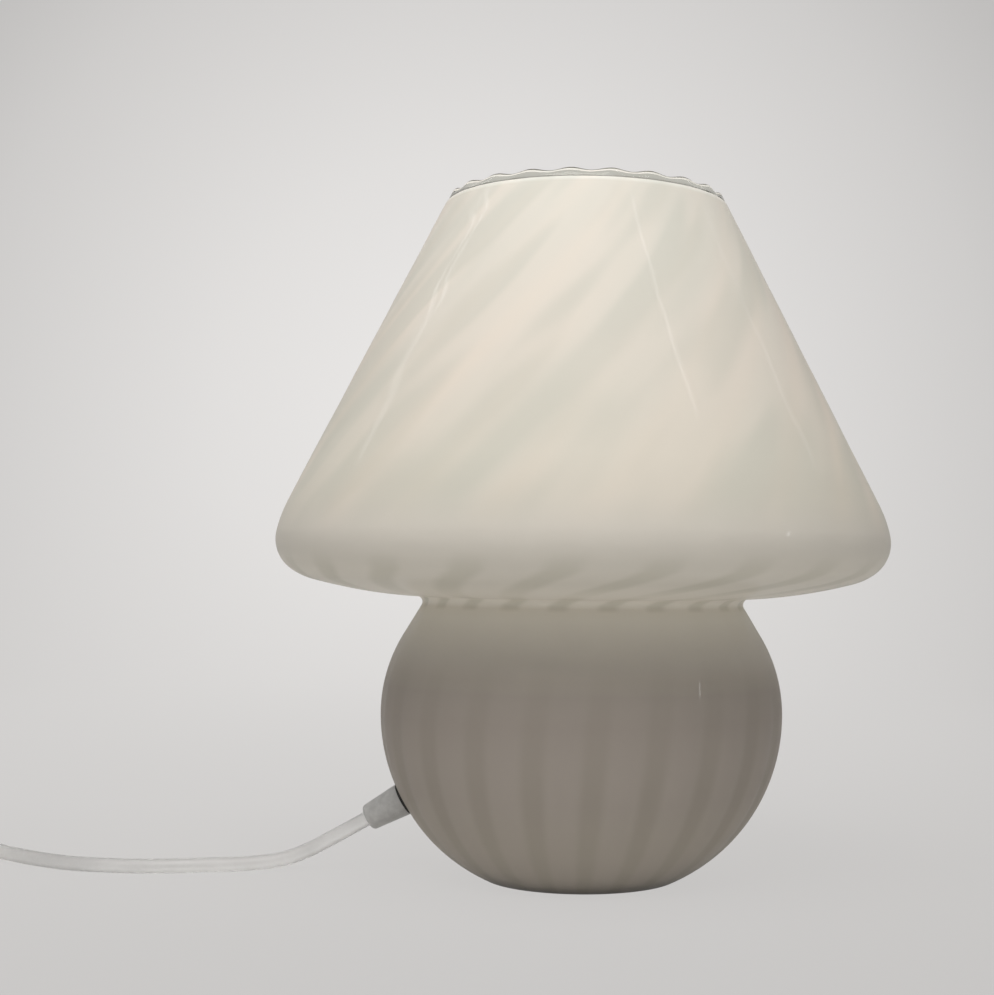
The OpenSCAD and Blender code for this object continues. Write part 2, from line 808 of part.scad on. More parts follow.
module switch_rocker() {
    half = rocker_l / 2;
    tip = pivot_z - tip_z;
    side = [[-half, 2.2], [-half, pivot_up + 1.9], [0, pivot_up + 0.7], [half, pivot_up + 1.9], [half, 2.2],
        [3, -2.2], [0.6, -tip], [-0.6, -tip], [-3, -2.2]];
    color("White")
        on_switch()
            translate([0, 0, pivot_z])
                rotate([0, -rocker_tilt, 0]) {
                    translate([0, rocker_w / 2, 0])
                        rotate([90, 0, 0])
                            linear_extrude(height = rocker_w)
                                polygon(side);
                    translate([0, -trunnion_y, 0])
                        rotate([-90, 0, 0])
                            cylinder(h = 2 * trunnion_y, r = trunnion_d / 2);
                }
}

module contact_blade() {
    color("Gold")
        on_switch()
            translate([0, 0, blade_z])
                rotate([0, blade_tilt, 0]) {
                    translate([-blade_l / 2, -2, 0])
                        cube([blade_l, 4, blade_t]);
                    translate([0, -2, 0])
                        rotate([-90, 0, 0])
                            cylinder(h = 4, r = knuckle_r);
                }
}

module blade_terminal() {
    color("Gold")
        on_switch() {
            translate([-1, -2, switch_t])
                cube([13, 4, 0.6]);
            translate([-0.4, -2, switch_t])
                cube([0.8, 4, blade_z - knuckle_r - 0.05 - switch_t]);
            translate([11.2, -2, switch_t])
                cube([0.8, 4, 6]);
        }
}

module fixed_terminal() {
    head = blade_z - 6 * sin(blade_tilt) - 0.08;
    color("Gold")
        on_switch() {
            translate([-12, -2, switch_t])
                cube([7.2, 4, 0.6]);
            translate([-6, 0, switch_t])
                cylinder(h = head - switch_t, r = 1);
            translate([-12, -2, switch_t])
                cube([0.8, 4, 6]);
        }
}

module switch_screws() {
    color("Silver")
        on_switch()
            for (x = [-screw_x, screw_x])
                translate([x, screw_y, 0.7]) {
                    cylinder(h = 1.5, r = 2.2);
                    cylinder(h = 12, r = 1.05);
                }
}

module cord_clamps() {
    color("WhiteSmoke")
        on_switch()
            for (x = [-24, 24])
                translate([x - 2, -5, split_z + cord_r])
                    cube([4, 10, 2.4]);
}

module switch_leads() {
    color("White")
        on_switch()
            for (s = [-1, 1]) {
                translate([s * stub_x, 0, split_z])
                    rotate([0, 90 * s, 0])
                        cylinder(h = switch_l / 2 - stub_x, r = cord_r);
                translate([s * 12, -0.8, split_z - 1.1])
                    rotate([0, 90 * s, 0])
                        cylinder(h = stub_x - 12 + 0.5, r = 0.8);
            }
}

module neutral_link() {
    line = [[-stub_x, 1.2, split_z], [0.5 - stub_x, 1.2, split_z], [-18.5, 2.4, 6.6], [-14.5, 6, 4.4],
        [-10, 7.4, 3.6], [0, 7.4, 3.6], [10, 7.4, 3.6], [14.5, 6, 4.4], [18.5, 2.4, 6.6],
        [stub_x - 0.5, 1.2, split_z], [stub_x, 1.2, split_z]];
    color("RoyalBlue")
        on_switch()
            sweep(tipped(line, 2), 0.8, 8, [0, 0, 1]);
}

// Plug

module plug_relief() {
    rib = relief_l / 5;
    step = [[0.6, 0.1], [0.6, 0.7], [0, 0.75], [0, 1.05]];
    ribbed = [for (i = [0:3]) for (p = step) [cord_r + 0.7 + 0.4 * i + p[0], (i + p[1]) * rib]];
    side = concat([[0, 0], [cord_r + 0.6, 0]], ribbed, [[cord_r + 2.6, 4.2 * rib], [cord_r + 2.6, relief_l],
        [0, relief_l]]);
    color("White")
        on_plug()
            rotate_extrude()
                polygon(side);
}

module plug_body() {
    h = plug_w / 2;
    t = plug_t / 2;
    color("White")
        difference() {
            intersection() {
                translate(plug_at + [0, relief_l, -t])
                    linear_extrude(height = plug_t)
                        polygon([[-7, 0], [7, 0], [h - 5, 7], [h, 17], [h, plug_l], [-h, plug_l], [-h, 17],
                            [5 - h, 7]]);
                on_plug(relief_l)
                    linear_extrude(height = plug_l)
                        polygon([[-h, -2.4], [-h + 4.4, -t], [h - 4.4, -t], [h, -2.4], [h, 2.4], [h - 4.4, t],
                            [4.4 - h, t], [-h, 2.4]]);
            }
            for (s = [-1, 1])
                translate([s * pin_gap / 2, 0, 0])
                    on_plug(relief_l + plug_l - 6)
                        cylinder(h = 8, r = pin_d / 2 - 0.5 + slip);
        }
}

module plug_pins() {
    r = pin_d / 2;
    color("Goldenrod")
        for (s = [-1, 1])
            translate([s * pin_gap / 2, 0, 0])
                on_plug(relief_l + plug_l)
                    rotate_extrude()
                        polygon([[0, -6], [r - 0.5, -6], [r - 0.5, 10], [r, 10], [r, pin_l - 1],
                            [r - 0.4, pin_l - 0.3], [r - 1, pin_l], [0, pin_l]]);
}

module plug_sleeves() {
    color("DimGray")
        for (s = [-1, 1])
            translate([s * pin_gap / 2, 0, 0])
                on_plug(relief_l + plug_l)
                    tube(10, pin_d / 2, pin_d / 2 - 0.5 + slip);
}

glass_body();
seal_washers();
clamp_washer();
clamp_bolt();
clamp_nut();
holder_bracket();
holder_nipple();
nipple_nuts();
holder_cap();
holder_skirt();
holder_core();
centre_contact();
side_contact();
holder_terminals();
terminal_screws();
bulb_glass();
bulb_cap();
bulb_insulator();
bulb_contact();
bulb_stem();
bulb_supports();
bulb_filaments();
grip_body();
grip_gasket();
grip_washer();
grip_nut();
lead_jacket();
live_wire();
neutral_wire();
cord_run();
switch_base();
switch_cover();
switch_rocker();
contact_blade();
blade_terminal();
fixed_terminal();
switch_screws();
cord_clamps();
switch_leads();
neutral_link();
cord_link();
cord_coil();
coil_tie();
cord_tail();
plug_relief();
plug_body();
plug_pins();
plug_sleeves();
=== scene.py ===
import json
import math

import bpy
import numpy as np
from mathutils import Matrix, Vector


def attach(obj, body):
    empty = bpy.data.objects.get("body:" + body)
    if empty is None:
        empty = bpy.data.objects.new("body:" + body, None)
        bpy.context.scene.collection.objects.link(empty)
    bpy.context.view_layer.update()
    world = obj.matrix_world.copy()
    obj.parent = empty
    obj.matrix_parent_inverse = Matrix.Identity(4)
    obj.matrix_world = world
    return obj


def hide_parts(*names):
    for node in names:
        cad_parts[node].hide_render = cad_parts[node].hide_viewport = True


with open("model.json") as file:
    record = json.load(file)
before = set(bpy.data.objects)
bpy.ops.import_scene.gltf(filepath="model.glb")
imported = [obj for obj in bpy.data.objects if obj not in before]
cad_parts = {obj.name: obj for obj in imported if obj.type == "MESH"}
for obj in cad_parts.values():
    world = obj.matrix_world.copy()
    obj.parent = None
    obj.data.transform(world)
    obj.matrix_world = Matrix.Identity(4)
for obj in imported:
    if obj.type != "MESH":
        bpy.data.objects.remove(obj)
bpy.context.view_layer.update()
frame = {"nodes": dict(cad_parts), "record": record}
nodes = frame["nodes"]
MM = 0.001


def add_object(name, data):
    made = bpy.data.objects.new(name, data)
    bpy.context.scene.collection.objects.link(made)
    return made


# Camera, fitted to the photograph's outline

CAMERA_AROUND = math.radians(3.0)
CAMERA_ROLL = math.radians(0.6)
CAMERA_FAR = 0.5681
CAMERA_HIGH = 0.10553
SENSOR_MM = 36
LENS_MM = 59.698
SHIFT = (-0.0865, 0.0718)


def make_camera():
    ahead = Vector((-math.sin(CAMERA_AROUND), math.cos(CAMERA_AROUND), 0))
    right = Vector((math.cos(CAMERA_AROUND), math.sin(CAMERA_AROUND), 0))
    up = Vector((0, 0, 1))
    side = right * math.cos(CAMERA_ROLL) + up * math.sin(CAMERA_ROLL)
    top = up * math.cos(CAMERA_ROLL) - right * math.sin(CAMERA_ROLL)
    data = bpy.data.cameras.new("camera")
    data.sensor_width = SENSOR_MM
    data.lens = LENS_MM
    data.shift_x, data.shift_y = SHIFT
    data.clip_start = 0.01
    camera = add_object("camera", data)
    place = ahead * -CAMERA_FAR + up * CAMERA_HIGH
    camera.matrix_world = Matrix.Translation(place) @ Matrix((side, top, -ahead)).transposed().to_4x4()
    bpy.context.scene.camera = camera


make_camera()


# Cord: grip to switch, then switch to coil to plug, with its routes and coil in mm

CORD_D = 0.005
CORD_SIDES = 16
CORD_STEPS = 8
RUN = [(-73.76, 0, 18.37), (-78.12, 0, 15.92), (-86, 0, 11.5), (-94, -0.3, 7.2), (-102, -1.4, 4.2),
       (-112, -3.8, 2.8), (-126, -8, 2.6), (-148, -13, 2.6), (-172, -11, 2.6), (-190, -3, 2.7),
       (-205, 5, 3.4), (-219, 10.8, 5.6), (-228, 12, 7.3), (-233, 12, 7.5), (-234, 12, 7.5)]
LINK = [(-294, 12, 7.5), (-295, 12, 7.5), (-301, 12, 7.2), (-311, 9, 5.6), (-319, 1, 4),
        (-322, -10, 3.4), (-322, -24, 3.4), (-322, -40, 3.4), (-322, -51, 3.4)]
TAIL = [(-277, -96, 9), (-266, -96, 7.8), (-254, -96, 5.6), (-242, -96, 4.3), (-233.6, -94.3, 4),
        (-226.4, -89.6, 4.4), (-221.7, -82.4, 5.4), (-220, -74, 6.7), (-220, -72, 6.85)]
COIL_CENTRE = (-282, -56)
COIL_R = 40.0
COIL_PITCH = 5.7
COIL_TURNS = 3.375
COIL_LOW = 3.4
COIL_LAYER = 5.6
COIL_DIP = 1.2
CLIMB = 0.5
PER_TURN = 96


def smooth(points):
    """A curve through the points."""
    p = [np.array(q, float) for q in points]
    p = [2 * p[0] - p[1]] + p + [2 * p[-1] - p[-2]]
    out = []
    for a, b, c, d in zip(p, p[1:], p[2:], p[3:]):
        for j in range(CORD_STEPS):
            t = j / CORD_STEPS
            out.append(0.5 * (2 * b + (c - a) * t + (2 * a - 5 * b + 4 * c - d) * t * t
                              + (3 * b - a - 3 * c + d) * t ** 3))
    return out + [p[-2]]


def coil_line():
    """In along the lower layer, half a turn up inside it, and out along the upper layer."""
    inner = COIL_R - COIL_PITCH * COIL_TURNS
    out = []
    for i in range(int((2 * COIL_TURNS + CLIMB) * PER_TURN) + 1):
        t = i / PER_TURN
        lift = 2 * math.pi * min(max(t - COIL_TURNS, 0), CLIMB)
        if t < COIL_TURNS:
            r = COIL_R - COIL_PITCH * t
        elif t > COIL_TURNS + CLIMB:
            r = inner + COIL_PITCH * (t - COIL_TURNS - CLIMB)
        else:
            r = inner - COIL_DIP * math.sin(lift)
        a = math.pi * (1 + 2 * t)
        z = COIL_LOW + COIL_LAYER * (1 - math.cos(lift)) / 2
        out.append(np.array((COIL_CENTRE[0] + r * math.cos(a), COIL_CENTRE[1] + r * math.sin(a), z)))
    return out


def make_cord(name, points):
    """A tube along the points, with closed ends."""
    line = np.array(points) * MM
    ahead = np.gradient(line, axis=0)
    ahead /= np.linalg.norm(ahead, axis=1)[:, None]
    side = np.cross(ahead, (0.0, 0.0, 1.0))
    side /= np.linalg.norm(side, axis=1)[:, None]
    over = np.cross(side, ahead)
    turn = np.linspace(0, 2 * math.pi, CORD_SIDES, endpoint=False)
    rings = [c + CORD_D / 2 * (np.outer(np.cos(turn), s) + np.outer(np.sin(turn), o))
             for c, s, o in zip(line, side, over)]
    count = len(line) * CORD_SIDES
    faces = [tuple(range(CORD_SIDES)), tuple(range(count - 1, count - CORD_SIDES - 1, -1))]
    for i in range(len(line) - 1):
        for k in range(CORD_SIDES):
            n = (k + 1) % CORD_SIDES
            faces.append(tuple(i * CORD_SIDES + m for m in (n, k, k + CORD_SIDES, n + CORD_SIDES)))
    mesh = bpy.data.meshes.new(name)
    mesh.from_pydata(np.vstack(rings).tolist(), [], faces)
    mesh.polygons.foreach_set("use_smooth", [len(f) == 4 for f in faces])
    return add_object(name, mesh), line.tolist()


lamp_cord, lamp_path = make_cord("lamp_cord", smooth(RUN))
mains_cord, mains_path = make_cord("mains_cord", smooth(LINK) + coil_line() + smooth(TAIL))
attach(lamp_cord, "lamp")
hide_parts("cord_run")
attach(mains_cord, "lamp")
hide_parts("cord_link", "cord_coil", "cord_tail")


# Glass: its profile as radius and height in mm, turned with ribs that twist

SHADE_R = 104.3
EDGE_R = 12.3
EDGE_Z = 114.7
SIDE_R = 45
BLEND_R = 24
BOWL_R = 165
BASE_R = 68.7
BASE_Z = 56
SHOULDER_R = 52
WAIST_R = 2
FOOT_R = 33.3
WALL = 3
CONE_ANGLE = 27
SIDE_TO = 13
UNDER_TO = -56
BOWL_TO = -75
NECK_ANGLE = 31
PUNT_Z = 8.6
FLOOR_Z = 12.6
HOLE_R = 4.4
TOP = 232.4
LEDGE = 229.55
RIM_GAP = 0.03
RIM_FOOT = LEDGE + RIM_GAP
LIP = 232.75
RIM_LEAN = 0.4
RIM_DROP = 0.8
EDGE_RING = 4
RIBS = 22
PER_RIB = 16
PER_RING = RIBS * PER_RIB
WALL_NARROW = 1.5
RIM_NARROW = 1
SWIRL_UNIT = 100

# Rings of the cone outside and inside, and the height where the inside of the wall meets the floor
CONE_GAP = 2.5
OUTER_TOP = 228.5
OUTER_RINGS = 46
INNER_TOP = 228
INNER_RINGS = 30
INNER_LOW = 6

# Angle of a groove from the front, in degrees, by height
TWIST = [(0, 4.5), (56, 7.1), (94, 11.3), (97, 18), (100, 24.5), (103, 29.8), (105, 32.2), (110, 33.8),
         (115, 34.9), (125, 38.1), (145, 47.2), (165, 57.5), (185, 69.5), (205, 83.3), (220, 94),
         (TOP, 102.8)]
# Depth of the grooves in mm, by height, and what the rim adds
DEPTH = [(0, 0), (8, 0.1), (22, 0.45), (45, 0.5), (62, 0.35), (80, 0.12), (90, 0.15), (94, 0.5),
         (100, 0.4), (108, 0.25), (118, 0.12), (125, 0.1), (180, 0.07), (TOP, 0.08)]
RIM_DEPTH = 0.45
RIM_FADE = 1.6


def polar(degrees):
    return np.array((math.cos(math.radians(degrees)), math.sin(math.radians(degrees))))


def arc(centre, radius, start, end, count):
    return [centre + radius * polar(start + (end - start) * i / count) for i in range(count + 1)]


# Centres of the profile's arcs
EDGE = np.array((SHADE_R - EDGE_R, EDGE_Z))
SIDE = EDGE - (SIDE_R - EDGE_R) * polar(SIDE_TO)
BLEND = EDGE - (BLEND_R - EDGE_R) * polar(UNDER_TO)
BOWL = BLEND - (BOWL_R - BLEND_R) * polar(BOWL_TO)
SHOULDER = np.array((BASE_R - SHOULDER_R, BASE_Z))
BELLY_R = ((BASE_R - FOOT_R) ** 2 + BASE_Z ** 2) / (2 * (BASE_R - FOOT_R))
BELLY = np.array((BASE_R - BELLY_R, BASE_Z))


def waist_centre():
    """Centre of the waist's rounding, which touches the straight neck and the bowl."""
    start = SHOULDER + (SHOULDER_R + WAIST_R) * polar(NECK_ANGLE) - BOWL
    up = polar(NECK_ANGLE + 90)
    half = start @ up
    neck = -half - math.sqrt(half ** 2 - start @ start + (BOWL_R + WAIST_R) ** 2)
    return BOWL + start + neck * up


WAIST = waist_centre()
WAIST_TO = math.degrees(math.atan2(WAIST[1] - BOWL[1], WAIST[0] - BOWL[0]))
# Where the cone starts
CONE = SIDE + SIDE_R * polar(CONE_ANGLE)


def wall_line(inset, low):
    """From this height on the base to the start of the cone, the outside at inset 0.
    Each arc starts past the end of the one before, so that no point comes twice."""
    reach = BELLY_R - inset
    return (arc(BELLY, reach, -math.degrees(math.asin((BASE_Z - low) / reach)), 0, 34)
            + arc(SHOULDER, SHOULDER_R - inset, 1.5, NECK_ANGLE, 22)
            + arc(WAIST, -(WAIST_R + inset), NECK_ANGLE, WAIST_TO, 14)
            + arc(BOWL, BOWL_R - inset, WAIST_TO + 0.4, BOWL_TO, 22)
            + arc(BLEND, BLEND_R - inset, BOWL_TO + 2, UNDER_TO, 8)
            + arc(EDGE, EDGE_R - inset, UNDER_TO + 3, SIDE_TO, 22)
            + arc(SIDE, SIDE_R - inset, SIDE_TO + 2, CONE_ANGLE, 6))


def cone_line(inset, start, end, count):
    """Points along the cone from one height to another."""
    slope = math.radians(CONE_ANGLE)
    foot = CONE[0] - inset / math.cos(slope)
    return [(foot - (z - CONE[1]) * math.tan(slope), z) for z in np.linspace(start, end, count)]


def twist(z):
    return np.interp(z, *zip(*TWIST))


def depth(z):
    return np.interp(z, *zip(*DEPTH)) + RIM_DEPTH * np.exp((z - LIP) / RIM_FADE)


def groove(turn, narrow):
    """0 on a rib, 1 in a groove, for turn in ribs."""
    return ((1 + np.cos(2 * math.pi * turn)) / 2) ** narrow


def lathe(name, line, ribbed, rim=False):
    """A turned mesh. ribbed is each ring's share of the grooves, and rim drops the top edge in them."""
    phi = np.arange(PER_RING) * 360 / PER_RING
    around = np.radians(phi)
    rings = []
    spaces = []
    ribs = []
    for (r, z), share in zip(line, ribbed):
        along = phi - twist(z)
        cut = groove(along * RIBS / 360, RIM_NARROW if rim else WALL_NARROW)
        radius = np.maximum(r - depth(z) * cut * share, 0)
        height = np.full(PER_RING, float(z))
        if rim:
            height -= RIM_DROP * cut * max(0, (z - LEDGE) / (LIP - LEDGE))
        rings.append(np.column_stack((radius * np.sin(around), -radius * np.cos(around), height)))
        turned = np.radians(along)
        level = np.full(PER_RING, z / SWIRL_UNIT)
        spaces.append(np.column_stack((np.sin(turned), -np.cos(turned), level)))
        ribs.append(cut)
    faces = []
    for i in range(len(line)):
        j = (i + 1) % len(line)
        for k in range(PER_RING):
            n = (k + 1) % PER_RING
            faces.append((i * PER_RING + k, i * PER_RING + n, j * PER_RING + n, j * PER_RING + k))
    mesh = bpy.data.meshes.new(name)
    mesh.from_pydata((np.vstack(rings) * MM).tolist(), [], faces)
    swirl = mesh.attributes.new("swirl", "FLOAT_VECTOR", "POINT")
    swirl.data.foreach_set("vector", np.vstack(spaces).ravel())
    rib = mesh.attributes.new("groove", "FLOAT", "POINT")
    rib.data.foreach_set("value", np.concatenate(ribs))
    mesh.polygons.foreach_set("use_smooth", [True] * len(mesh.polygons))
    return add_object(name, mesh)


def make_opal():
    """The white wall, from the foot up outside, over the cut under the rim and down inside."""
    start = CONE[1] + CONE_GAP
    outer = wall_line(0, 0) + cone_line(0, start, OUTER_TOP, OUTER_RINGS)
    outer += cone_line(0, 228.8, 228.95, 2)
    cut = [(48.5, 229.22), (48.28, 229.45), (48, LEDGE), (47.2, LEDGE), (46.6, LEDGE), (46.2, 229.4),
           (45.8, 229.1), (45.4, 228.7)]
    inner = cone_line(WALL, INNER_TOP, start, INNER_RINGS) + wall_line(WALL, INNER_LOW)[::-1]
    floor = [(29.3, 4.6), (26, 7), (18, FLOOR_Z), (HOLE_R, FLOOR_Z), (HOLE_R, PUNT_Z), (15, PUNT_Z),
             (26, 1.2), (27.6, 0.2), (29, 0)]
    fade = [0.8, 0.5, 0.2]
    plain = len(cut) + len(inner) + len(floor) - len(fade)
    return lathe("opal_glass", outer + cut + inner + floor, [1] * len(outer) + fade + [0] * plain)


def make_rim():
    """The clear rim, leaning in like the cone, with one ring of faces in white opal that paints a highlight
    along its top edge.
    """
    upright = [(48, RIM_FOOT), (48.1, 229.8), (48.15, 230.4), (48.15, 231.1), (48.11, 231.6), (48.02, 232.25),
               (47.85, 232.6), (47.55, LIP), (47.25, 232.6), (47.08, 232.25), (47, 231.8), (46.95, 231.1),
               (46.9, 230.4), (46.85, 229.8), (46.9, RIM_FOOT), (47.4, RIM_FOOT)]
    line = [(r - RIM_LEAN * (z - LEDGE), z) for r, z in upright]
    rim = lathe("clear_rim", line, [1] * len(line), rim=True)
    # the painted highlight: these faces take the opal, the rim's second material
    bright = [int(i // PER_RING == EDGE_RING) for i in range(len(line) * PER_RING)]
    rim.data.polygons.foreach_set("material_index", bright)
    return rim


glass = make_opal()
clear_rim = make_rim()
for piece in (glass, clear_rim):
    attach(piece, "lamp")
    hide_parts("glass_body")


# Materials


class Shader:
    """A node material with one principled shader."""

    def __init__(self, name):
        self.material = bpy.data.materials.new(name)
        self.material.use_nodes = True
        self.tree = self.material.node_tree
        self.tree.nodes.clear()
        self.out = self.add("ShaderNodeOutputMaterial")
        self.main = self.add("ShaderNodeBsdfPrincipled")
        self.link(self.main.outputs[0], self.out.inputs[0])
        self.place = self.add("ShaderNodeTexCoord").outputs["Object"]

    def add(self, kind, **settings):
        node = self.tree.nodes.new(kind)
        for key, value in settings.items():
            setattr(node, key, value)
        return node

    def link(self, a, b):
        self.tree.links.new(a, b)

    def into(self, source, socket):
        self.link(source, self.main.inputs[socket])

    def put(self, **values):
        for key, value in values.items():
            self.main.inputs[key.replace("_", " ")].default_value = value
        return self

    def noise(self, scale, detail=3.0, stretch=(1, 1, 1), source=None):
        shift = self.add("ShaderNodeMapping")
        shift.inputs["Scale"].default_value = stretch
        self.link(source or self.place, shift.inputs["Vector"])
        node = self.add("ShaderNodeTexNoise")
        node.inputs["Scale"].default_value = scale
        node.inputs["Detail"].default_value = detail
        self.link(shift.outputs[0], node.inputs["Vector"])
        return node.outputs[0]

    def ramp(self, source, stops, smooth=False):
        node = self.add("ShaderNodeValToRGB")
        if smooth:
            node.color_ramp.interpolation = "EASE"
        bands = node.color_ramp.elements
        while len(bands) < len(stops):
            bands.new(0.5)
        for band, (at, colour) in zip(bands, stops):
            band.position = at
            band.color = (*colour, 1)
        self.link(source, node.inputs[0])
        return node.outputs[0]

    def scale(self, source, low, high):
        node = self.add("ShaderNodeMapRange")
        node.inputs["To Min"].default_value = low
        node.inputs["To Max"].default_value = high
        self.link(source, node.inputs["Value"])
        return node.outputs[0]

    def times(self, a, b, share=None):
        """a times b, or as much of that as share says."""
        node = self.add("ShaderNodeMix", data_type="RGBA", blend_type="MULTIPLY")
        node.inputs[0].default_value = 1.0
        if share is not None:
            self.link(share, node.inputs[0])
        self.link(a, node.inputs[6])
        self.link(b, node.inputs[7])
        return node.outputs[2]

    def between(self, share, a, b):
        node = self.add("ShaderNodeMix", data_type="RGBA")
        for source, socket in zip((share, a, b), (0, 6, 7)):
            self.link(source, node.inputs[socket])
        return node.outputs[2]

    def bump(self, source, strength, distance, socket="Normal"):
        node = self.add("ShaderNodeBump")
        node.inputs["Strength"].default_value = strength
        node.inputs["Distance"].default_value = distance
        self.link(source, node.inputs["Height"])
        self.into(node.outputs[0], socket)


def tone(colour, share):
    return tuple(min(1, c * share) for c in colour)


def finish(name, colour, rough, grain=400.0, vary=0.12, relief=0.0, **values):
    """A finish whose colour and gloss vary a little over the piece."""
    shader = Shader(name)
    speck = shader.noise(grain)
    cloud = shader.noise(grain / 8, 2)
    base = shader.ramp(speck, [(0.3, tone(colour, 1 - vary)), (0.7, tone(colour, 1 + vary))])
    wear = shader.ramp(cloud, [(0.35, (0.9, 0.9, 0.9)), (0.65, (1, 1, 1))])
    shader.into(shader.times(base, wear), "Base Color")
    shader.into(shader.scale(cloud, rough * 0.8, rough * 1.2), "Roughness")
    if relief:
        shader.bump(speck, 0.4, relief)
    return shader.put(**values).material


BLACK = (0, 0, 0)
WHITE = (1, 1, 1)
GLASS_IOR = 1.5
# Colour of the opal by height, as a share of the top: painted light and shade, lighter up the cone, darker on
# the base below the shade and under the shade's edge, lighter again at the neck and at the very foot, with a
# painted highlight in the last stop along the cut under the rim
OPAL_WITH_PAINTED_LIGHT = [(0.0, (0.51, 0.47, 0.415)), (0.08, (0.455, 0.415, 0.365)), (0.14, (0.405, 0.365, 0.325)),
        (0.245, (0.38, 0.34, 0.303)), (0.285, (0.41, 0.37, 0.33)), (0.305, (0.47, 0.43, 0.38)),
        (0.385, (0.82, 0.79, 0.72)), (0.41, (0.83, 0.79, 0.71)), (0.435, (0.69, 0.66, 0.59)),
        (0.47, (0.755, 0.72, 0.645)), (0.5, (0.715, 0.68, 0.61)), (0.6, (0.815, 0.775, 0.695)),
        (0.75, (0.87, 0.82, 0.745)), (0.981, (0.9, 0.87, 0.8)), (0.9825, (1, 0.985, 0.93))]
# Painted shade in the grooves: how far it darkens the opal, by height, deepest at the waist, where the ribs
# between the grooves are left as painted highlight dashes
GROOVE_SHADE = [(0.06, (0.92, 0.92, 0.9)), (0.16, (0.9, 0.905, 0.88)), (0.34, WHITE), (0.395, WHITE),
           (0.401, (0.84, 0.845, 0.82)), (0.41, (0.84, 0.845, 0.82)), (0.418, (0.96, 0.96, 0.95)),
           (0.43, (0.87, 0.875, 0.855)), (0.45, (0.89, 0.895, 0.875)), (0.475, WHITE)]
# Swirls of the shade: along the ribs, partly painted light where the grooves catch it, in a broad mist and in
# shorter patches
SWIRL_STRETCH = (1, 1, 0.5)
SWIRL_AND_GROOVE_LIGHT = [(0.0, (0.97, 0.975, 0.967)), (0.4, (0.985, 0.982, 0.972)), (0.85, (1, 0.988, 0.97))]
MIST = [(0.35, (0.96, 0.97, 0.965)), (0.65, (1, 0.985, 0.975))]
PATCHES = [(0.38, (0.91, 0.92, 0.905)), (0.62, (1, 0.99, 0.978))]


def opal():
    """White opal glass under a clear skin, with painted light and shade by height that make it whiter towards
    the top, painted shade in its grooves, and swirls in the shade.
    """
    shader = Shader("opal")
    swirl = shader.add("ShaderNodeAttribute", attribute_name="swirl").outputs["Vector"]
    rib = shader.add("ShaderNodeAttribute", attribute_name="groove").outputs["Fac"]
    split = shader.add("ShaderNodeSeparateXYZ")
    shader.link(shader.place, split.inputs[0])
    height = shader.add("ShaderNodeMapRange")
    height.inputs["From Max"].default_value = TOP * MM
    shader.link(split.outputs[2], height.inputs["Value"])
    high = height.outputs[0]
    # painted light and shade by height, over the opal's white
    body = shader.ramp(high, OPAL_WITH_PAINTED_LIGHT)
    wander = shader.noise(1.5, 2.0, SWIRL_STRETCH, swirl)
    patchy = shader.noise(4.2, 1.0, SWIRL_STRETCH, swirl)
    # the streaks along the grooves are partly the swirl and partly painted light on the grooves
    lit = shader.add("ShaderNodeMath", operation="MULTIPLY")
    shader.link(rib, lit.inputs[0])
    shader.link(shader.scale(wander, -0.2, 1.4), lit.inputs[1])
    shade = shader.times(body, shader.ramp(lit.outputs[0], SWIRL_AND_GROOVE_LIGHT))
    shade = shader.times(shade, shader.ramp(wander, MIST, True))
    shade = shader.times(shade, shader.ramp(patchy, PATCHES, True))
    # painted shade in the grooves of the base and the waist, with painted highlight dashes between them at
    # the waist
    line = shader.ramp(rib, [(0.2, BLACK), (0.92, WHITE)], True)
    low = shader.times(body, shader.ramp(high, GROOVE_SHADE), line)
    upper = shader.ramp(high, [(0.48, BLACK), (0.56, WHITE)], True)
    shader.into(shader.between(upper, low, shade), "Base Color")
    shader.into(shader.scale(shader.noise(40, 2), 0.32, 0.42), "Roughness")
    shader.bump(shader.noise(70, 2), 0.5, 0.00012, "Coat Normal")
    shader.put(IOR=GLASS_IOR, Specular_IOR_Level=0.0)
    return shader.put(Coat_Weight=0.2, Coat_Roughness=0.055, Coat_IOR=GLASS_IOR).material


def clear():
    """Clear glass above the opal, a little grey."""
    shader = Shader("clear")
    cloud = shader.noise(60, 2)
    shader.into(shader.ramp(cloud, [(0.3, (0.665, 0.665, 0.605)), (0.7, (0.69, 0.69, 0.635))]), "Base Color")
    shader.into(shader.scale(cloud, 0.01, 0.04), "Roughness")
    return shader.put(IOR=GLASS_IOR, Transmission_Weight=1.0).material


def paint(piece, *coats):
    """Give the piece these materials, each face keeping its number."""
    indices = [f.material_index for f in piece.data.polygons]
    piece.data.materials.clear()
    for coat in coats:
        piece.data.materials.append(coat)
    piece.data.polygons.foreach_set("material_index", indices)


